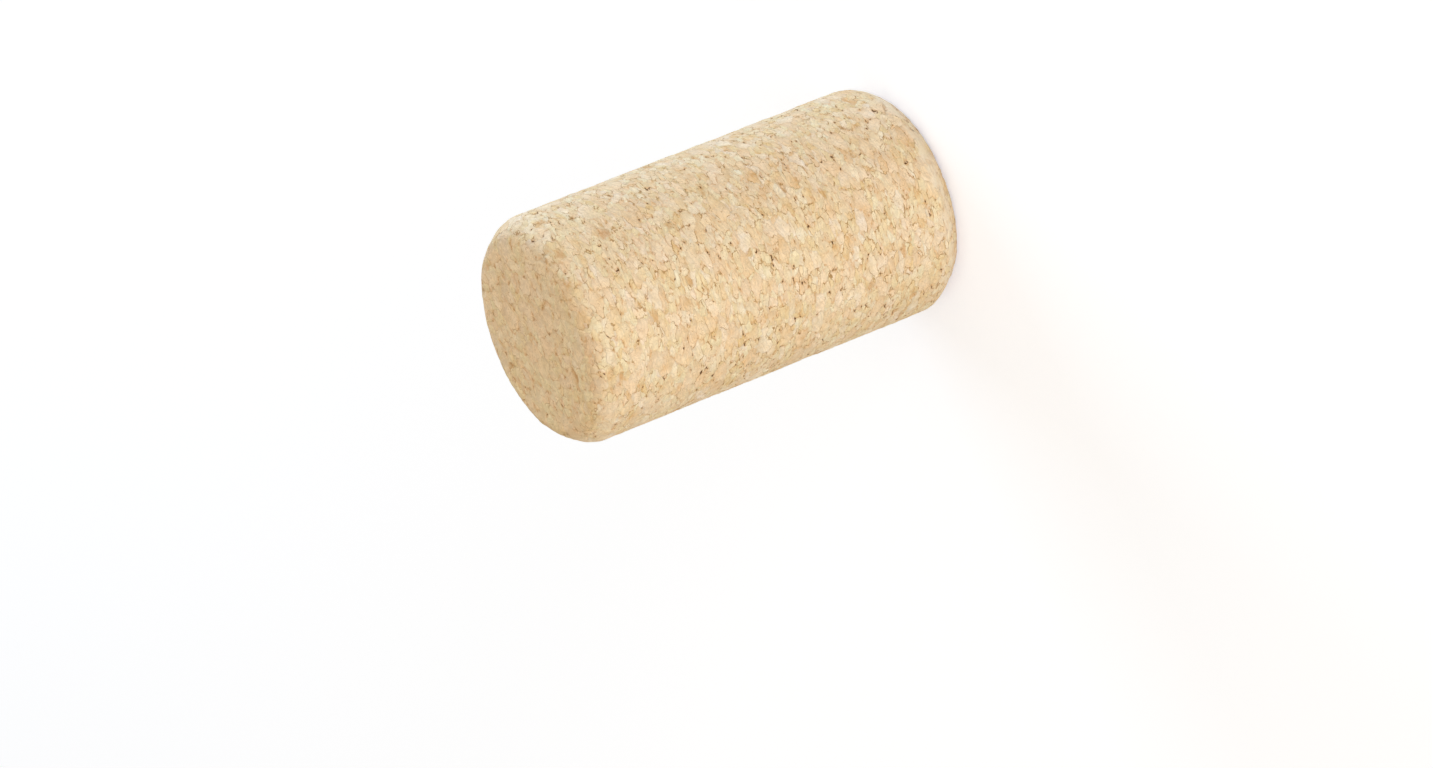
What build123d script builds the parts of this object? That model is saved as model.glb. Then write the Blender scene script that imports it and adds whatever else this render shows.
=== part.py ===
# A stopper for a wine bottle, moulded in one piece from bonded cork granules and then ground round.
# It is a plain round bar with flat ends. Where each end meets the side it has a chamfer, a little longer along the
# side than across the end, and tumbling has rubbed both rims of that chamfer to soft radii, the outer one more.
# Both ends are alike, so it can go into the neck either way up.
# Frame: +Z runs along the stopper's axis. The origin is the middle of the end that it stands on.
import math
import os

from build123d import *

# Driving sizes, in millimetres
body_diameter = 24.0  # the usual stopper for still wine, squeezed on its way into the neck
body_length = 44.0
chamfer_across = 1.6  # the chamfer's leg on the flat end, before its rims are rubbed round
chamfer_along = 2.2  # its leg on the side
face_rim_radius = 1.5  # the soft radius between the flat end and the chamfer
side_rim_radius = 2.4  # the soft radius between the chamfer and the side, which rubs more

# An arc that turns the profile by some angle uses up its radius times the tangent of half that angle, on both sides.
chamfer_slope = math.atan2(chamfer_along, chamfer_across)
face_reach = face_rim_radius * math.tan(chamfer_slope / 2)
side_reach = side_rim_radius * math.tan((math.pi / 2 - chamfer_slope) / 2)
room_on_chamfer = 0.98 * math.hypot(chamfer_across, chamfer_along)
rubbed_share = min(1.0, room_on_chamfer / (face_reach + side_reach))  # below 1 where the two arcs would meet

body_radius = body_diameter / 2
side_length = body_length - 2 * (chamfer_along + rubbed_share * side_reach)  # the straight part, which grips the neck


def half_section():
    """Half of the stopper's lengthwise section, from its axis out to its side, in the XZ plane."""
    face_radius = body_radius - chamfer_across
    with BuildSketch(Plane.XZ) as section:
        with BuildLine():
            Polyline(
                (0, 0),
                (face_radius, 0),
                (body_radius, chamfer_along),
                (body_radius, body_length - chamfer_along),
                (face_radius, body_length),
                (0, body_length),
                close=True,
            )
        make_face()
        corners = section.vertices().filter_by(lambda corner: corner.X > face_radius / 2)
        side_rims = corners.filter_by(lambda corner: corner.X > body_radius - chamfer_across / 2)
        face_rims = corners.filter_by(lambda corner: corner.X < body_radius - chamfer_across / 2)
        fillet(side_rims, radius=side_rim_radius * rubbed_share)
        fillet(face_rims, radius=face_rim_radius * rubbed_share)
    return section.sketch


def stopper():
    """The whole stopper: its half section swept once round the axis."""
    return revolve(half_section(), axis=Axis.Z)


os.makedirs("parts", exist_ok=True)
body = stopper()
export_step(body, "parts/stopper.step")
print("stopper volume, cubic mm:", round(body.volume, 1))
print("straight side, mm:", round(side_length, 3))
print("flat end, mm across:", round(2 * (body_radius - chamfer_across - rubbed_share * face_reach), 3))
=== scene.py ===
# %% [markdown]
# # A bonded cork stopper
# The real stopper is one piece. Cork is ground to granules of about a millimetre, mixed with a little glue,
# pressed in a tube and baked. The blank is then ground round, cut flat, chamfered and tumbled, so its skin is
# a sanded cut through thousands of squeezed granules, with thin brown joints between them and a slit wherever
# one doesn't meet its neighbour.
#
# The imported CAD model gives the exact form. Here the same form is made again with a fine, even skin of quads,
# so that the granules can stand up from it, and it gets the finish of sanded cork. Everything is in metres,
# and the stopper stands on its foot end at the origin with +Z along its axis.

# %% Load the frame and measure it
import math

import bpy
from mathutils import Matrix, Vector


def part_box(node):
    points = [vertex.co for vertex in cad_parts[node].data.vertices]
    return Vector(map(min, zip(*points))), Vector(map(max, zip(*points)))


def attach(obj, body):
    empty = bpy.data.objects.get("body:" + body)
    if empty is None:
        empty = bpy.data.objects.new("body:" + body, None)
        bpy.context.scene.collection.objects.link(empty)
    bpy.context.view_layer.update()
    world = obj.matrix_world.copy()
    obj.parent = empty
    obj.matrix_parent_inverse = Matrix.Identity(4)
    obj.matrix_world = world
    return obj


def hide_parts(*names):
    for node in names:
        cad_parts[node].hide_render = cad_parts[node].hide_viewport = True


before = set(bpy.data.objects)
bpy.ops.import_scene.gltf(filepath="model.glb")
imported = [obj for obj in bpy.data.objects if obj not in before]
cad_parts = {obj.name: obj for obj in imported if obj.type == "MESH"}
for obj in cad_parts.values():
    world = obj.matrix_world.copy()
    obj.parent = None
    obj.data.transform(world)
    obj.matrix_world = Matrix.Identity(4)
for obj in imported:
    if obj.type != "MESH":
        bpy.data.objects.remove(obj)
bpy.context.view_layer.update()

MM = 0.001

foot_corner, head_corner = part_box("stopper")
stopper_diameter = (head_corner.x - foot_corner.x) / MM
stopper_length = (head_corner.z - foot_corner.z) / MM
print("stopper, mm across and long:", round(stopper_diameter, 3), round(stopper_length, 3))

# %% [markdown]
# ## A bench for writing node trees
# A node tree can be clicked together or written. Written trees stay short with a helper that adds one node,
# makes its choices and feeds its inputs in a single call. A value that is already a socket gets a link, and a
# plain number is written on the input. Maths and texture nodes have the same names in Geometry Nodes and in
# materials, so one helper serves both. That matters here, because the granules that rise in the mesh must be
# the ones that the colour shows.

# %% A bench for writing node trees
class NodeBench:
    """Writes nodes into one tree, of a material or of Geometry Nodes."""

    def __init__(self, tree):
        self.tree = tree

    def feed(self, socket, value):
        """Links a socket to this input, or writes a plain value on it."""
        if isinstance(value, bpy.types.NodeSocket):
            self.tree.links.new(value, socket)
        else:
            socket.default_value = value

    def add(self, kind, inputs=None, **choices):
        """Adds one node. Its inputs are given by name or by number."""
        node = self.tree.nodes.new(kind)
        for name, choice in choices.items():
            setattr(node, name, choice)
        for key, value in (inputs or {}).items():
            self.feed(node.inputs[key], value)
        return node

    def maths(self, operation, *values):
        """One sum with plain numbers."""
        return self.add("ShaderNodeMath", dict(enumerate(values)), operation=operation).outputs[0]

    def total(self, first, *others):
        """Plain numbers added together."""
        for other in others:
            first = self.maths("ADD", first, other)
        return first

    def product(self, first, *others):
        """Plain numbers multiplied together."""
        for other in others:
            first = self.maths("MULTIPLY", first, other)
        return first

    def vectors(self, operation, *values):
        """One sum with vectors."""
        node = self.add("ShaderNodeVectorMath", dict(enumerate(values)), operation=operation)
        return node.outputs["Vector"]

    def scaled(self, vector, factor):
        """A vector made longer or shorter."""
        node = self.add("ShaderNodeVectorMath", {0: vector, "Scale": factor}, operation="SCALE")
        return node.outputs["Vector"]

    def dot(self, first, second):
        """How far one vector reaches along another."""
        node = self.add("ShaderNodeVectorMath", {0: first, 1: second}, operation="DOT_PRODUCT")
        return node.outputs["Value"]

    def joined(self, x, y, z):
        """A vector from three numbers."""
        return self.add("ShaderNodeCombineXYZ", {0: x, 1: y, 2: z}).outputs[0]

    def parts(self, vector):
        """The three numbers in a vector."""
        return self.add("ShaderNodeSeparateXYZ", {0: vector}).outputs

    def ramp(self, value, start, end, low=0.0, high=1.0, kind="SMOOTHSTEP"):
        """Goes from low to high while the value goes from start to end, and stays there."""
        inputs = {"Value": value, "From Min": start, "From Max": end, "To Min": low, "To Max": high}
        return self.add("ShaderNodeMapRange", inputs, interpolation_type=kind).outputs[0]

    def wander(self, noise, reach, spread=0.2):
        """Goes from minus to plus a reach while a noise goes from the spread below 0.5 to as much above."""
        return self.ramp(noise, 0.5 - spread, 0.5 + spread, -reach, reach, kind="LINEAR")

    def either(self, choice, if_zero, if_one):
        """Mixes two numbers."""
        return self.add("ShaderNodeMix", {0: choice, 2: if_zero, 3: if_one}, data_type="FLOAT").outputs[0]

    def either_vector(self, choice, if_zero, if_one):
        """Mixes two vectors."""
        return self.add("ShaderNodeMix", {0: choice, 4: if_zero, 5: if_one}, data_type="VECTOR").outputs[1]

    def tint(self, share, below, above, blend="MIX"):
        """Mixes two colours."""
        inputs = {0: share, 6: below, 7: above}
        return self.add("ShaderNodeMix", inputs, data_type="RGBA", blend_type=blend).outputs[2]

    def noise(self, place, size, detail=2.0):
        """Cloudy noise with blobs of about that size. Returns one number and one vector."""
        inputs = {"Vector": place, "Scale": 1 / size, "Detail": detail}
        node = self.add("ShaderNodeTexNoise", inputs, noise_dimensions="3D")
        return node.outputs[0], node.outputs[1]

    def cells(self, place, size):
        """Shares out space in cells of about that size. Returns each cell's random colour and centre, and the
        distance to its border."""
        inputs = {"Vector": place, "Scale": 1 / size, "Randomness": 1.0}
        inside = self.add("ShaderNodeTexVoronoi", inputs, voronoi_dimensions="3D", feature="F1")
        border = self.add("ShaderNodeTexVoronoi", inputs, voronoi_dimensions="3D", feature="DISTANCE_TO_EDGE")
        distance = self.maths("MULTIPLY", border.outputs[0], size)
        return inside.outputs["Color"], inside.outputs["Position"], distance

# %% [markdown]
# ## The granules
# A granule is a squeezed chip of bark. Scattered points with the space shared out between them, which is what
# a Voronoi texture does, give such chips when a surface cuts through them. Three things make them cork. The
# space is squeezed along the axis, as the press squeezed the mix, so granules are wider than they are tall.
# It is warped by soft noise, so their borders bend. And a large cell is either one big granule or is filled
# with small ones, because ground cork is a mix of sizes. One more soft noise says where the glue is thin and
# granules are loosely bonded.
#
# The function is used twice: in Geometry Nodes for the relief and in the material for the colour.

# %% Share out space between granules
LARGE_GRANULE = 2.1  # mm, across the axis
SMALL_GRANULE = 1.15
SQUEEZE = 1.9  # how much flatter a granule is along the axis
SHARE_OF_LARGE = 0.35
WARPS = ((1.7, 1.5), (0.5, 0.45), (0.2, 0.1))  # mm, how wide and how far each noise bends the borders
LOOSE_PATCH = 0.85  # mm, how wide a patch of thin glue is
MIDDLE = (0.5, 0.5, 0.5)  # the middle of a noise's vector

def granules(bench, place):
    """Shares out a place, in millimetres, between granules.
    Returns each one's random colour, the way from its centre, how far the nearest joint is, and how loosely
    it is bonded."""
    squeezed = bench.vectors("MULTIPLY", place, (1.0, 1.0, SQUEEZE))
    warped = squeezed
    for size, reach in WARPS:
        shift = bench.vectors("SUBTRACT", bench.noise(squeezed, size)[1], MIDDLE)
        warped = bench.vectors("ADD", warped, bench.scaled(shift, reach))

    large_colour, large_centre, large_edge = bench.cells(warped, LARGE_GRANULE)
    small_colour, small_centre, small_edge = bench.cells(warped, SMALL_GRANULE)
    whole = bench.maths("LESS_THAN", bench.parts(large_colour)[0], SHARE_OF_LARGE)
    return {
        "colour": bench.either_vector(whole, small_colour, large_colour),
        "inside": bench.vectors("SUBTRACT", warped, bench.either_vector(whole, small_centre, large_centre)),
        "edge": bench.either(whole, small_edge, large_edge),
        "loose": bench.noise(squeezed, LOOSE_PATCH)[0],
    }

# %% [markdown]
# ## The form
# A turned bar can be made by spinning a profile, but then the quads crowd together at the middle of each end,
# and a relief on them looks pinched. Instead a box with an even grid is bent round: each ring of the grid's
# square becomes a ring of the bar, and a quad stays about as wide as it is high, everywhere. How far out and
# how high a ring lies is read off a curve, the stopper's profile, whose chamfers are rounded with Fillet
# Curve as tumbling rounds them.
#
# ### The profile
# The profile is half of the lengthwise section: out along the foot, up the side and back in along the head. A
# line is divided into six points, and an Index Switch puts each one on its corner. Fillet Curve then rounds
# the four corners of the two chamfers. Tumbling rubs the rim on the side more than the rim of the flat end,
# so a second Index Switch gives each corner its own radius.

# %% Draw the profile
POINTS_ON_ARC = 12

def one_for_each_point(bench, kind, values):
    """The first value for a curve's first point, the second for its second, and so on."""
    switch = bench.add("GeometryNodeIndexSwitch", data_type=kind)
    while len(switch.index_switch_items) < len(values):
        switch.index_switch_items.new()
    bench.feed(switch.inputs[0], bench.add("GeometryNodeInputIndex").outputs[0])
    for number, value in enumerate(values):
        bench.feed(switch.inputs[number + 1], value)
    return switch.outputs[0]

def profile(bench, sizes):
    """The stopper's half section as a curve, in millimetres.
    X is the distance from the axis, and Z runs along it."""
    radius = bench.maths("MULTIPLY", sizes["Diameter"], 0.5)
    face_radius = bench.maths("SUBTRACT", radius, sizes["Chamfer Across"])
    shoulder = bench.maths("SUBTRACT", sizes["Length"], sizes["Chamfer Along"])
    corners = [
        bench.joined(0.0, 0.0, 0.0),
        bench.joined(face_radius, 0.0, 0.0),
        bench.joined(radius, 0.0, sizes["Chamfer Along"]),
        bench.joined(radius, 0.0, shoulder),
        bench.joined(face_radius, 0.0, sizes["Length"]),
        bench.joined(0.0, 0.0, sizes["Length"]),
    ]
    face_rim, side_rim = sizes["Face Rim Radius"], sizes["Side Rim Radius"]
    radii = [0.0, face_rim, side_rim, side_rim, face_rim, 0.0]
    line = bench.add("GeometryNodeCurvePrimitiveLine").outputs[0]
    points = bench.add("GeometryNodeResampleCurve", {"Curve": line, "Count": len(corners)}).outputs[0]
    moved = {"Geometry": points, "Position": one_for_each_point(bench, "VECTOR", corners)}
    placed = bench.add("GeometryNodeSetPosition", moved).outputs[0]
    radius_here = one_for_each_point(bench, "FLOAT", radii)
    rounding = {"Curve": placed, "Count": POINTS_ON_ARC, "Radius": radius_here, "Limit Radius": True}
    return bench.add("GeometryNodeFilletCurve", rounding, mode="POLY").outputs[0]

# %% [markdown]
# ### Bending the box round
# The box is two units wide, from -1 to 1. A point's ring is the larger of its |x| and |y|. Its angle grows
# evenly along the square's edge, an eighth of a turn on each side of a face's middle. An end's grid and the
# side's grid meet at about the middle of the chamfer, so the rubbed rims get their share of quads from both.

# %% Find a grid point's angle, and its way along the profile
EIGHTH_TURN = math.pi / 4
CHAMFER_SAVES = 0.2  # share of the chamfer by which the way to its middle is shorter than the radius
BOX_END = 0.9999  # the box's ends are at -1 and 1, and this finds them

def eighths_round(bench, x, y, facing_x, facing_y):
    """A grid point's angle in eighths of a turn, from -5 to 3, on the side of the box that faces that way."""
    on_x = bench.maths("GREATER_THAN", bench.maths("ABSOLUTE", facing_x), bench.maths("ABSOLUTE", facing_y))
    along_x_side = bench.maths("DIVIDE", y, x)
    along_y_side = bench.maths("SUBTRACT", 2.0, bench.maths("DIVIDE", x, y))
    behind = bench.maths("LESS_THAN", bench.either(on_x, facing_y, facing_x), 0.0)
    eighths = bench.either(on_x, along_y_side, along_x_side)
    return bench.maths("SUBTRACT", eighths, bench.maths("MULTIPLY", behind, 4.0))

def ways(bench, sizes, curve, ring, height):
    """The way along the profile from the foot's middle to a grid point, and the way across one end."""
    saved = bench.maths("MULTIPLY", sizes["Chamfer Across"], CHAMFER_SAVES)
    end_way = bench.maths("SUBTRACT", bench.maths("MULTIPLY", sizes["Diameter"], 0.5), saved)
    whole_way = bench.add("GeometryNodeCurveLength", {0: curve}).outputs[0]
    on_foot = bench.maths("MULTIPLY", ring, end_way)
    on_head = bench.maths("SUBTRACT", whole_way, on_foot)
    top_of_side = bench.maths("SUBTRACT", whole_way, end_way)
    on_side = bench.ramp(height, -1.0, 1.0, end_way, top_of_side, kind="LINEAR")
    is_foot = bench.maths("LESS_THAN", height, -BOX_END)
    is_head = bench.maths("GREATER_THAN", height, BOX_END)
    return bench.either(is_head, bench.either(is_foot, on_side, on_foot), on_head), end_way

# %% [markdown]
# ### The relief
# Sanding cuts every granule at the same height, but soft granules spring back more than hard ones, so each
# ends up a few hundredths of a millimetre above or below its neighbours, and a little tilted. Joints sink
# between them. Where a joint gapes it is a slit, and now and then a granule has come away and left a pit. All
# of this is real geometry, moved along the surface's normal, so it shows in the outline and in the mesh itself
# too. Tumbling loosens more granules on the rims, so pits are more common there.

# %% Work out the relief
PITTED_SHARE = 0.985  # a granule whose chance is above this has come away
PITTED_SHARE_AT_RIM = 0.93
WAVE_SIZE = 4.0  # mm, how wide the soft waves that grinding leaves are
# These are shares of the relief's depth:
LOWEST, HIGHEST = -0.7, 0.5  # where granules stand
TILT = 1.2  # for each millimetre from the granule's centre
JOINT_DEPTH = 0.5
SLIT_DEPTH = 2.0
PIT_DEPTH = 3.5
WAVE = 0.5

def relief(bench, place, depth, at_rim):
    """How far the surface stands out or sinks at a place, in millimetres."""
    cut = granules(bench, place)
    stands, _, lost = bench.parts(cut["colour"])
    stands = bench.ramp(stands, 0.0, 1.0, LOWEST, HIGHEST, kind="LINEAR")
    lean = bench.vectors("SUBTRACT", cut["colour"], MIDDLE)
    stands = bench.total(stands, bench.product(bench.dot(lean, cut["inside"]), TILT))
    stands = bench.product(stands, bench.ramp(cut["edge"], 0.0, 0.28, 0.25, 1.0))
    joint = bench.ramp(cut["edge"], 0.0, 0.26, -JOINT_DEPTH, 0.0)
    gape = bench.ramp(cut["loose"], 0.67, 0.73)
    slit = bench.product(gape, bench.ramp(cut["edge"], 0.06, 0.26, -SLIT_DEPTH, 0.0))
    come_away = bench.maths("GREATER_THAN", lost, bench.either(at_rim, PITTED_SHARE, PITTED_SHARE_AT_RIM))
    pit = bench.product(come_away, bench.ramp(cut["edge"], 0.0, 0.2, 0.0, -PIT_DEPTH))
    wave = bench.wander(bench.noise(place, WAVE_SIZE)[0], WAVE)
    return bench.product(bench.total(stands, joint, slit, pit, wave), depth)

# %% [markdown]
# ### The UV map
# A baked copy of the finish needs a flat layout. The side unrolls to a strip, and each end is a disc above
# it, all at one scale. The map is stored while the box is still square, because then a face's normal says
# plainly which of the six sides it belongs to, and the strip can be cut open at the back without a face that
# spans the seam.

# %% Lay out the UV map
SHEET_GAP = 0.6  # mm between the islands, and round them

def flat_layout(bench, sizes, box, curve):
    """Stores the UV map on the square box."""
    x, y, z = bench.parts(bench.add("GeometryNodeInputPosition").outputs[0])
    normal = bench.add("GeometryNodeInputNormal").outputs[0]
    held = bench.add("GeometryNodeFieldOnDomain", {0: normal}, data_type="FLOAT_VECTOR", domain="FACE")
    facing = bench.parts(held.outputs[0])
    ring = bench.maths("MAXIMUM", bench.maths("ABSOLUTE", x), bench.maths("ABSOLUTE", y))
    way, end_way = ways(bench, sizes, curve, ring, z)
    round_way = bench.maths("MULTIPLY", sizes["Diameter"], math.pi)

    strip_turn = bench.ramp(eighths_round(bench, x, y, facing[0], facing[1]), -5.0, 3.0, kind="LINEAR")
    strip_x = bench.maths("ADD", bench.maths("MULTIPLY", strip_turn, round_way), SHEET_GAP)
    strip_y = bench.maths("ADD", bench.maths("SUBTRACT", way, end_way), SHEET_GAP)
    strip = bench.joined(strip_x, strip_y, 0.0)

    turn = bench.maths("MULTIPLY", eighths_round(bench, x, y, x, y), EIGHTH_TURN)
    reach = bench.maths("MULTIPLY", ring, end_way)
    across = bench.maths("MULTIPLY", bench.maths("COSINE", turn), reach)
    up = bench.maths("MULTIPLY", bench.maths("SINE", turn), reach)
    whole_way = bench.add("GeometryNodeCurveLength", {0: curve}).outputs[0]
    middle_y = bench.maths("ADD", bench.maths("SUBTRACT", whole_way, end_way), 2 * SHEET_GAP)
    is_head = bench.maths("GREATER_THAN", facing[2], 0.5)
    middle_x = bench.maths("ADD", end_way, SHEET_GAP)
    next_disc = bench.total(bench.product(end_way, 2.0), SHEET_GAP)
    step = bench.product(next_disc, is_head)
    mirrored = bench.product(across, bench.either(is_head, -1.0, 1.0))
    disc_x = bench.total(middle_x, step, mirrored)
    disc = bench.joined(disc_x, bench.maths("ADD", middle_y, up), 0.0)

    is_end = bench.maths("GREATER_THAN", bench.maths("ABSOLUTE", facing[2]), 0.5)
    sheet = bench.maths("ADD", round_way, 2 * SHEET_GAP)
    flat = bench.scaled(bench.either_vector(is_end, strip, disc), bench.maths("DIVIDE", 1.0, sheet))
    stored = {"Geometry": box, "Name": "OFBake", "Value": flat}
    node = bench.add("GeometryNodeStoreNamedAttribute", stored, data_type="FLOAT2", domain="CORNER")
    return node.outputs[0]

# %% [markdown]
# ### The whole tree
# The tree takes its sizes as named inputs, in millimetres: it makes the box, lays out the map, bends the box
# round, moves the skin by the relief and gives it its material.

# %% Build the stopper's Geometry Nodes tree
STOPPER_INPUTS = [
    ("Diameter", "NodeSocketFloat"),
    ("Length", "NodeSocketFloat"),
    ("Chamfer Across", "NodeSocketFloat"),
    ("Chamfer Along", "NodeSocketFloat"),
    ("Face Rim Radius", "NodeSocketFloat"),
    ("Side Rim Radius", "NodeSocketFloat"),
    ("Quads Across", "NodeSocketInt"),
    ("Quads Along", "NodeSocketInt"),
    ("Relief", "NodeSocketFloat"),
    ("Seed", "NodeSocketVector"),
    ("Material", "NodeSocketMaterial"),
]

def stopper_nodes():
    """The Geometry Nodes tree that makes the stopper."""
    tree = bpy.data.node_groups.new("cork stopper", "GeometryNodeTree")
    tree.interface.new_socket("Geometry", in_out="OUTPUT", socket_type="NodeSocketGeometry")
    for label, kind in STOPPER_INPUTS:
        tree.interface.new_socket(label, in_out="INPUT", socket_type=kind)
    bench = NodeBench(tree)
    sizes = bench.add("NodeGroupInput").outputs
    curve = profile(bench, sizes)

    across = bench.maths("ADD", sizes["Quads Across"], 1.0)
    along = bench.maths("ADD", sizes["Quads Along"], 1.0)
    counts = {"Size": (2.0, 2.0, 2.0), "Vertices X": across, "Vertices Y": across, "Vertices Z": along}
    box = bench.add("GeometryNodeMeshCube", counts).outputs[0]
    box = flat_layout(bench, sizes, box, curve)

    x, y, z = bench.parts(bench.add("GeometryNodeInputPosition").outputs[0])
    ring = bench.maths("MAXIMUM", bench.maths("ABSOLUTE", x), bench.maths("ABSOLUTE", y))
    turn = bench.maths("MULTIPLY", eighths_round(bench, x, y, x, y), EIGHTH_TURN)
    way, end_way = ways(bench, sizes, curve, ring, z)
    sampled = bench.add("GeometryNodeSampleCurve", {"Curves": curve, "Length": way}, mode="LENGTH")
    out, _, up = bench.parts(sampled.outputs["Position"])
    round_x = bench.maths("MULTIPLY", out, bench.maths("COSINE", turn))
    round_y = bench.maths("MULTIPLY", out, bench.maths("SINE", turn))
    place = bench.scaled(bench.joined(round_x, round_y, up), MM)
    bar = bench.add("GeometryNodeSetPosition", {"Geometry": box, "Position": place}).outputs[0]

    here = bench.scaled(bench.add("GeometryNodeInputPosition").outputs[0], 1 / MM)
    normal = bench.add("GeometryNodeInputNormal").outputs[0]
    upright = bench.maths("ABSOLUTE", bench.parts(normal)[2])
    at_rim = bench.maths("COMPARE", upright, 0.5, 0.45)
    height = relief(bench, bench.vectors("ADD", here, sizes["Seed"]), sizes["Relief"], at_rim)
    offset = bench.scaled(normal, bench.maths("MULTIPLY", height, MM))
    skin = bench.add("GeometryNodeSetPosition", {"Geometry": bar, "Offset": offset}).outputs[0]
    smooth = bench.add("GeometryNodeSetShadeSmooth", {"Geometry": skin}).outputs[0]
    real = bench.add("GeometryNodeRealizeInstances", {"Geometry": smooth}).outputs[0]
    done = bench.add("GeometryNodeSetMaterial", {"Geometry": real, "Material": sizes["Material"]}).outputs[0]
    bench.add("NodeGroupOutput", {0: done})
    return tree

stopper_tree = stopper_nodes()
print("nodes in the stopper's tree:", len(stopper_tree.nodes))

# %% [markdown]
# ## The finish: sanded cork
# The open cells of cut cork scatter light, so the finish is very rough, with hardly any shine and a faint
# sheen. All that tells one place from another is colour. It could be painted on a picture, but then the
# picture would have to meet the relief. Here it is worked out from the same granules as the relief, so the
# two agree everywhere.
#
# The next cells mask the rims and the ends, where wear and some painted light and shade lie, give each granule
# its own colour, draw the layers in its bark and mark the joints. The last one lays all of these over each
# other.

# %% Colours of the cork
def from_screen(red, green, blue):
    """A colour as a screen shows it, from 0 to 255, turned into the light that it stands for."""
    def light(part):
        part = part / 255
        return part / 12.92 if part <= 0.04045 else ((part + 0.055) / 1.055) ** 2.4
    return (light(red), light(green), light(blue), 1.0)

GRANULE_TONES = [  # how common each tone is comes from how far it is to the next
    (0.00, from_screen(245, 234, 216)),
    (0.15, from_screen(241, 225, 200)),
    (0.38, from_screen(238, 218, 187)),
    (0.60, from_screen(236, 212, 177)),
    (0.80, from_screen(233, 205, 165)),
    (0.95, from_screen(228, 194, 148)),
    (1.00, from_screen(219, 178, 126)),
]
ROSY = (1.003, 0.967, 0.982)  # what a granule's tone is multiplied by, from pinkish to yellowish
STRAW = (0.985, 1.002, 0.935)
JOINT_STAIN = from_screen(214, 160, 102)
JOINT_LINE = from_screen(164, 122, 68)
SLIT_SHADE = from_screen(74, 38, 4)
PIT_SHADE = from_screen(196, 146, 92)
# The pale rim colour: wear, and round the foot also painted light.
RUBBED_AND_LIT_RIM = from_screen(246, 233, 212)
# A warmer tint on both flat ends: painted warm bounce light.
ENDS_WARM_BOUNCE = (1.02, 0.985, 0.95)  # what the flat ends' colour is multiplied by
# A darker inner rim of the head: painted shade.
HEAD_RIM_SHADE = (0.9, 0.88, 0.86)  # what the colour of the head's rim is multiplied by
UNCHANGED = (1.0, 1.0, 1.0)

# %% [markdown]
# ### The rims and the ends
# Tumbling rubs the rims paler, and the border of the rubbed band strays. The band is made much stronger round
# the foot than round the head, and that extra paleness at the foot is painted light on the foot's rim. The flat
# ends are cut, not ground, so they are calmer than the side. They are also given a warmer tint, which is
# painted warm bounce light, and the inner rim of the head is darkened, which is painted shade. Each of these is
# a mask: a number from 0 to 1 that says how much of it a place has. Masks come from how far the place is from
# the axis and from the stopper's middle, so they follow the form by themselves.

# %% Mask the rims and the ends
BAND_STRAYS = 0.8  # mm
PALE_RIM_AT_FOOT, PALE_RIM_AT_HEAD = 0.6, 0.15

def rim_and_end_masks(bench, here, place, radius, half):
    """How much pale rim (wear, and painted light at the foot), flat end and painted shade of the head's rim a
    place has, from 0 to 1.
    """
    x, y, z = bench.parts(here)
    from_axis = bench.maths("SQRT", bench.total(bench.product(x, x), bench.product(y, y)))
    from_middle = bench.maths("ABSOLUTE", bench.maths("SUBTRACT", z, half))
    strays = bench.wander(bench.noise(place, 1.5)[0], BAND_STRAYS)
    near_end = bench.ramp(bench.total(from_middle, strays), half - 2.7, half - 1.6)
    off_face = bench.ramp(bench.total(from_axis, bench.product(strays, 0.4)), radius - 1.2, radius - 0.5)
    # the pale band is strongest at the foot; that extra paleness is painted light on the foot's rim
    rim_paleness = bench.ramp(z, 0.0, 2 * half, PALE_RIM_AT_FOOT, PALE_RIM_AT_HEAD)
    rubbed_and_lit = bench.product(near_end, off_face, rim_paleness)

    on_end = bench.ramp(from_middle, half - 0.6, half - 0.2)
    # the head's inner rim is darkened here: painted shade
    outside_face = bench.ramp(from_axis, radius - 2.4, radius - 1.7)
    inside_chamfer = bench.ramp(from_axis, radius - 1.25, radius - 0.75, 1.0, 0.0)
    head_rim_shade = bench.product(outside_face, inside_chamfer, bench.ramp(z, half, 2 * half))
    return rubbed_and_lit, on_end, head_rim_shade

# %% [markdown]
# ### Each granule's own colour
# Each granule has its own tone, from nearly cream to a warm brown, depending on where in the bark it grew,
# and some are a little pinker and some yellower. Its random numbers pick the tone from a colour ramp and lean
# the hue. Two soft noises, wider than a granule, shift both a little, so neighbours are often alike, as in a
# real mix.

# %% Give each granule its colour
def granule_colour(bench, place, chances, calm):
    """The colour of the granule at a place, before any marks."""
    drift = bench.wander(bench.noise(place, 1.2)[0], 0.25, spread=0.25)
    tone = bench.total(bench.ramp(chances[2], 0.0, 1.0, -0.3, 0.3, kind="LINEAR"), drift)
    tone = bench.total(bench.product(tone, calm), 0.5)
    ramp = bench.add("ShaderNodeValToRGB", {0: tone})
    stops = ramp.color_ramp.elements
    while len(stops) < len(GRANULE_TONES):
        stops.new(1.0)
    for stop, (position, colour) in zip(stops, GRANULE_TONES):
        stop.position = position
        stop.color = colour
    patches = bench.wander(bench.noise(place, 2.5)[0], 0.3)
    hue = bench.either_vector(bench.total(chances[0], patches), ROSY, STRAW)
    return bench.vectors("MULTIPLY", ramp.outputs[0], hue)

# %% [markdown]
# ### Layers in the bark
# Bark grows in layers, and sanding cuts them, so each granule has fine pale and dark strokes that run its own
# way. A noise gives strokes when it is squeezed along one direction. Each granule leans that direction by its
# own random numbers, and they also take it to its own part of the noise, or strokes would run on from one to
# the next.

# %% Draw the layers
LAYER = 0.24  # mm, how thick a layer is
LAYERS_UP = 1.6  # how much the way through the layers keeps to the axis, against each granule's own lean
OWN_PART = 40.0  # mm, the furthest apart that two granules read the noise

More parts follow.
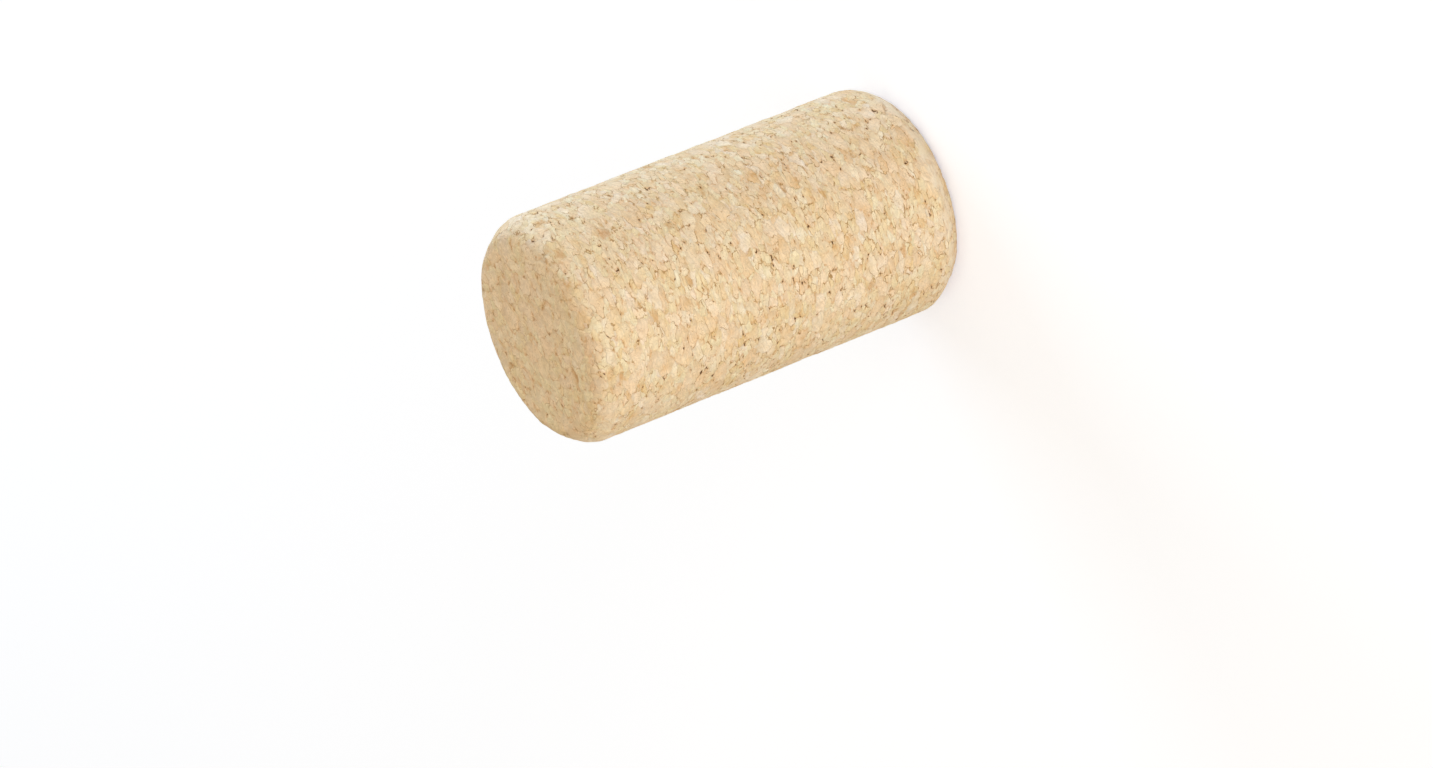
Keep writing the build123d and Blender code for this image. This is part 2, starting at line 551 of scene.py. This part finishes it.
def bark_layers(bench, here, cut, chances):
    """The strokes of a granule's layers, and how far up the granule's own slope the place is, in mm."""
    x, y, _ = bench.parts(here)
    lean = bench.vectors("NORMALIZE", bench.vectors("SUBTRACT", cut["colour"], MIDDLE))
    through = bench.vectors("NORMALIZE", bench.vectors("ADD", lean, (0.0, 0.0, LAYERS_UP)))
    layer = bench.maths("DIVIDE", bench.dot(through, cut["inside"]), LAYER)
    along = bench.total(x, bench.product(chances[0], OWN_PART))
    across = bench.total(y, bench.product(chances[1], OWN_PART))
    strokes = bench.noise(bench.joined(layer, along, across), 1.0, detail=1.0)[0]
    return strokes, bench.dot(lean, cut["inside"])

def lit_by_layers(bench, colour, place, strokes, slope):
    """A colour made a little paler or darker by the strokes, a fine speckle and the granule's slope."""
    speckle = bench.noise(place, 0.2)[0]
    light = bench.total(1.0, bench.product(slope, 0.05))
    light = bench.total(light, bench.wander(strokes, 0.085, spread=0.14), bench.wander(speckle, 0.06))
    return bench.scaled(colour, light)

# %% [markdown]
# ### Marks along the joints
# Where granules are loosely bonded, glue has stained their borders. Thin brown lines run along a joint for a
# while and stop, mostly on one side of a granule, where it stands over its neighbour. Fine wisps are cracks
# in a granule, and are drawn where a noise crosses its middle value. A joint that gapes is a dark slit, in
# the same places as the slits of the relief, and where a granule has come away the floor of its pit is
# browner.

# %% Mark the joints
def with_stain(bench, colour, cut):
    """Glue soaked in beside loose joints."""
    soaked = bench.ramp(cut["loose"], 0.5, 0.68, 0.0, 0.6)
    return bench.tint(bench.product(bench.ramp(cut["edge"], 0.0, 0.3, 1.0, 0.0), soaked), colour, JOINT_STAIN)

def with_lines(bench, colour, place, cut, slope, strokes, calm):
    """Broken brown lines along joints, and wisps inside granules."""
    broken = bench.ramp(bench.noise(place, 0.8)[0], 0.45, 0.56)
    one_side = bench.ramp(slope, -0.05, 0.2)
    line = bench.product(bench.ramp(cut["edge"], 0.02, 0.1, 0.85, 0.0), broken, one_side, calm)
    colour = bench.tint(line, colour, JOINT_LINE)
    crossing = bench.maths("ABSOLUTE", bench.maths("SUBTRACT", bench.noise(place, 0.75)[0], 0.5))
    wisp = bench.product(bench.ramp(crossing, 0.004, 0.018, 0.5, 0.0), bench.ramp(strokes, 0.45, 0.55))
    return bench.tint(wisp, colour, JOINT_LINE)

def slits(bench, cut, calm):
    """How much of a gaping joint a place is, from 0 to 1."""
    gape = bench.ramp(cut["loose"], 0.663, 0.71)
    return bench.product(gape, bench.ramp(cut["edge"], 0.04, 0.13, 0.92, 0.0), calm)

def pits(bench, cut, chances, strokes):
    """How brown the floor of a lost granule's pit is, from 0 to 1."""
    come_away = bench.maths("GREATER_THAN", chances[2], PITTED_SHARE)
    floor_of_pit = bench.ramp(cut["edge"], 0.0, 0.35)
    return bench.product(come_away, floor_of_pit, bench.ramp(strokes, 0.35, 0.65, 0.2, 0.7))

# %% [markdown]
# ### The whole finish
# What was worked out is laid one over the other: first the granules with their strokes, then the marks along
# the joints, and last the pale rims, which are wear and round the foot painted light, the painted warm tint of
# the ends and the painted shade of the head's rim. What is finer than the mesh's quads, the strokes, the thin
# joints and the grain of the cut cells, also goes into the surface's bump.

# %% Mix the sanded cork
CALM_ON_ENDS = 0.45  # how much of its variety a flat end lacks

def cork_material(seed, diameter, length):
    """Sanded cork from the same granules as the relief. Its rims are worn paler, and round the foot painted
    lighter; the ends get a painted warm tint of bounce light, and the head's rim painted shade.
    """
    material = bpy.data.materials.new("sanded cork")
    material.use_nodes = True
    material.node_tree.nodes.clear()
    bench = NodeBench(material.node_tree)
    here = bench.scaled(bench.add("ShaderNodeTexCoord").outputs["Object"], 1 / MM)
    place = bench.vectors("ADD", here, seed)
    cut = granules(bench, place)
    chances = bench.parts(cut["colour"])

    rubbed_and_lit, on_end, head_rim_shade = rim_and_end_masks(bench, here, place, diameter / 2, length / 2)
    calm = bench.maths("SUBTRACT", 1.0, bench.product(on_end, CALM_ON_ENDS))
    strokes, slope = bark_layers(bench, here, cut, chances)
    slit = slits(bench, cut, calm)

    colour = granule_colour(bench, place, chances, calm)
    colour = lit_by_layers(bench, colour, place, strokes, slope)
    colour = with_stain(bench, colour, cut)
    colour = with_lines(bench, colour, place, cut, slope, strokes, calm)
    colour = bench.tint(slit, colour, SLIT_SHADE)
    colour = bench.tint(pits(bench, cut, chances, strokes), colour, PIT_SHADE)
    # pale rims: wear, and painted light round the foot; the ends' warmer tint is painted warm bounce light, and
    # the head's rim gets painted shade
    colour = bench.tint(rubbed_and_lit, colour, RUBBED_AND_LIT_RIM)
    colour = bench.vectors("MULTIPLY", colour, bench.either_vector(on_end, UNCHANGED, ENDS_WARM_BOUNCE))
    colour = bench.vectors("MULTIPLY", colour, bench.either_vector(head_rim_shade, UNCHANGED, HEAD_RIM_SHADE))

    grain = bench.noise(place, 0.12)[0]
    height = bench.product(bench.total(grain, strokes), 0.015)
    height = bench.total(height, bench.ramp(cut["edge"], 0.0, 0.09, -0.02, 0.0))
    height = bench.maths("SUBTRACT", height, bench.product(slit, 0.04))
    bump = bench.add("ShaderNodeBump", {"Strength": 1.0, "Distance": MM, "Height": height})
    finish = {
        "Base Color": colour,
        "Roughness": bench.ramp(grain, 0.3, 0.7, 0.72, 0.9, kind="LINEAR"),
        "Normal": bump.outputs[0],
        "Specular IOR Level": 0.06,
        "Sheen Weight": 0.1,
        "Sheen Roughness": 0.5,
        "Sheen Tint": (1.0, 1.0, 1.0, 1.0),
    }
    surface = bench.add("ShaderNodeBsdfPrincipled", finish).outputs[0]
    bench.add("ShaderNodeOutputMaterial", {"Surface": surface})
    return material

cork_seed = (31.0, 7.0, 53.0)
cork = cork_material(cork_seed, stopper_diameter, stopper_length)
print("nodes in the cork:", len(cork.node_tree.nodes))

# %% [markdown]
# ## Making the stopper
# The tree runs as a modifier on an empty object. Its inputs are set by their identifiers before anything is
# worked out. Then the result is turned into a plain mesh, and the modifier goes.

# %% Run the tree and keep its mesh
def made_by(tree, name, values):
    """A plain mesh object, made by running a Geometry Nodes tree with these inputs."""
    holder = bpy.data.objects.new(name + "_maker", bpy.data.meshes.new(name + "_maker"))
    bpy.context.scene.collection.objects.link(holder)
    modifier = holder.modifiers.new(name, "NODES")
    modifier.node_group = tree
    for item in tree.interface.items_tree:
        if item.in_out == "INPUT":
            modifier[item.identifier] = values[item.name]
    depsgraph = bpy.context.evaluated_depsgraph_get()
    mesh = bpy.data.meshes.new_from_object(holder.evaluated_get(depsgraph), depsgraph=depsgraph)
    bpy.data.objects.remove(holder)
    mesh.name = name
    piece = bpy.data.objects.new(name, mesh)
    bpy.context.scene.collection.objects.link(piece)
    return piece

stopper = made_by(
    stopper_tree,
    "cork_body",
    {
        "Diameter": stopper_diameter,
        "Length": stopper_length,
        "Chamfer Across": 1.6,
        "Chamfer Along": 2.2,
        "Face Rim Radius": 1.5,
        "Side Rim Radius": 2.4,
        "Quads Across": 92,
        "Quads Along": 204,
        "Relief": 0.055,
        "Seed": cork_seed,
        "Material": cork,
    },
)
triangles = sum(len(face.vertices) - 2 for face in stopper.data.polygons)
print("stopper's triangles:", triangles, "UV maps:", [layer.name for layer in stopper.data.uv_layers])

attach(stopper, "root")
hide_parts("stopper")

# %% [markdown]
# ## The floor
# A plain white floor. The camera sees it as white, with only the stopper's own soft shadow on it. So it gives
# out a little light, for the camera only, on top of what falls on it: no more than the open floor lacks, or
# the shadow is lost.

# %% Lay the floor
FLOOR_HALF = 3.0  # m
FLOOR_CARD = (0.86, 0.86, 0.86, 1.0)
FLOOR_LACKS = (0.35, 0.375, 0.45)  # what the open floor lacks to look white, in red, green and blue

def seen_by_camera(bench):
    """1 for rays that show the camera what they hit, in a mirror or through glass too, and 0 for others."""
    rays = bench.add("ShaderNodeLightPath").outputs
    seen = bench.maths("MAXIMUM", rays["Is Camera Ray"], rays["Is Glossy Ray"])
    return bench.maths("MAXIMUM", seen, rays["Is Transmission Ray"])

def floor_material():
    """White card, which looks white to the camera and keeps the shadow."""
    material = bpy.data.materials.new("white card")
    material.use_nodes = True
    material.node_tree.nodes.clear()
    bench = NodeBench(material.node_tree)
    card = bench.add("ShaderNodeBsdfDiffuse", {"Color": FLOOR_CARD}).outputs[0]
    glow = bench.add("ShaderNodeEmission", {"Color": (*FLOOR_LACKS, 1.0), "Strength": seen_by_camera(bench)})
    both = bench.add("ShaderNodeAddShader", {0: card, 1: glow.outputs[0]}).outputs[0]
    bench.add("ShaderNodeOutputMaterial", {"Surface": both})
    return material

def floor_sheet():
    """One large square, at the height of the stopper's foot."""
    mesh = bpy.data.meshes.new("floor")
    low, high = -FLOOR_HALF, FLOOR_HALF
    mesh.from_pydata([(low, low, 0), (high, low, 0), (high, high, 0), (low, high, 0)], [], [(0, 1, 2, 3)])
    sheet = bpy.data.objects.new("floor", mesh)
    sheet.data.materials.append(floor_material())
    bpy.context.scene.collection.objects.link(sheet)
    return sheet

floor_sheet()
print("floor, m across:", 2 * FLOOR_HALF)

# %% [markdown]
# ## Light
# A product like this is lit by large soft lamps and white walls, so light comes from everywhere and no shadow
# is hard. The world gives the walls' share, slightly warm. A broad lamp at the front models the round, and a
# weaker one at the left fills the side that turns away. A cool lamp at the right and behind gives the edge
# its pale line, and a faint warm one overhead keeps the head from going dull. A lamp's level is how bright a
# white card that faces it would look, and its power follows from that and from how far away it is.

# %% Set the lamps and the world
LAMP_DISTANCE = 0.7  # m, from the stopper's middle

def soft_lamp(name, toward, distance, size, level, colour):
    """A lamp that faces the stopper's middle. Its level is the share of full white that it gives a card."""
    data = bpy.data.lights.new(name, "AREA")
    data.shape = "RECTANGLE"
    data.size, data.size_y = size
    data.color = colour
    data.energy = level * math.pi ** 2 * distance ** 2
    lamp = bpy.data.objects.new(name, data)
    direction = Vector(toward).normalized()
    lamp.location = Vector((0, 0, stopper_length * MM / 2)) + direction * distance
    lamp.rotation_mode = "QUATERNION"
    lamp.rotation_quaternion = direction.to_track_quat("Z", "Y")
    bpy.context.scene.collection.objects.link(lamp)
    return lamp

WIDE = (0.5, 0.25)
SQUARE = (0.5, 0.5)
LAMPS = [  # name, where it stands, size in m, level and colour
    ("front lamp", (0.0, -1.0, 0.16), WIDE, 0.38, (0.96, 1.0, 1.08)),
    ("left lamp", (-0.87, -0.5, 0.16), WIDE, 0.19, (1.06, 1.0, 0.85)),
    ("edge lamp", (0.87, 0.5, 0.12), WIDE, 0.67, (0.74, 1.0, 1.3)),
    ("overhead lamp", (0.0, 0.02, 1.0), SQUARE, 0.09, (1.25, 1.0, 0.55)),
]
for name, toward, size, level, colour in LAMPS:
    soft_lamp(name, toward, LAMP_DISTANCE, size, level, colour)

WALLS = (0.53, 0.49, 0.405)  # how bright the room round the stopper is, in red, green and blue

def studio_world():
    """Even soft light from all round, and plain white where the camera sees it."""
    world = bpy.data.worlds.new("white studio")
    world.use_nodes = True
    world.node_tree.nodes.clear()
    bench = NodeBench(world.node_tree)
    colour = bench.tint(seen_by_camera(bench), (*WALLS, 1.0), (1.0, 1.0, 1.0, 1.0))
    walls = bench.add("ShaderNodeBackground", {"Color": colour, "Strength": 1.0})
    bench.add("ShaderNodeOutputWorld", {"Surface": walls.outputs[0]})
    return world

bpy.context.scene.world = studio_world()
bpy.context.scene.view_settings.view_transform = "Standard"
print("lamps:", [lamp[0] for lamp in LAMPS])

# %% [markdown]
# ## Camera
# The photograph was taken with a long lens. The stopper lay tilted there, with its head towards the camera
# and to the left. Here it stands, so the camera takes up the tilt: it looks down on the head by the same
# angle and is rolled until the axis runs across the picture as it does in the photograph. Three measures set
# it: the pixel where the stopper's middle is, the angle of its axis in the picture, and how far its head
# leans towards the camera.

# %% Put the camera where the photograph was taken from
PHOTO_WIDTH, PHOTO_HEIGHT = 1433, 768
SENSOR_WIDTH = 36.0  # mm
FOCAL_PIXELS = 7622.7
MIDDLE_PIXEL = (720.0, 264.4)
MIDDLE_DEPTH = 0.76529  # m along the lens's axis
AXIS_ANGLE = math.radians(158.016)  # in the picture, clockwise from the right, towards the head
HEAD_LEAN = math.radians(26.234)  # how far the head leans towards the camera

def photo_camera():
    """The camera, rolled to give the photograph's view of the standing stopper."""
    right = Vector((1, 0, 0))
    down = Vector((0, -math.sin(HEAD_LEAN), -math.cos(HEAD_LEAN)))
    forward = Vector((0, math.cos(HEAD_LEAN), -math.sin(HEAD_LEAN)))
    picture_right = -math.sin(AXIS_ANGLE) * right - math.cos(AXIS_ANGLE) * down
    picture_down = math.cos(AXIS_ANGLE) * right - math.sin(AXIS_ANGLE) * down
    middle_right = (MIDDLE_PIXEL[0] - PHOTO_WIDTH / 2) / FOCAL_PIXELS * MIDDLE_DEPTH
    middle_down = (MIDDLE_PIXEL[1] - PHOTO_HEIGHT / 2) / FOCAL_PIXELS * MIDDLE_DEPTH
    stopper_middle = Vector((0, 0, stopper_length * MM / 2))
    place = stopper_middle - MIDDLE_DEPTH * forward
    place = place - middle_right * picture_right - middle_down * picture_down

    data = bpy.data.cameras.new("photo camera")
    data.sensor_width = SENSOR_WIDTH
    data.lens = SENSOR_WIDTH * FOCAL_PIXELS / PHOTO_WIDTH
    camera = bpy.data.objects.new("photo camera", data)
    turned = Matrix((picture_right, -picture_down, -forward)).transposed().to_4x4()
    camera.matrix_world = Matrix.Translation(place) @ turned
    bpy.context.scene.collection.objects.link(camera)
    return camera

bpy.context.scene.camera = photo_camera()
print("camera, m:", [round(part, 4) for part in bpy.context.scene.camera.matrix_world.translation])
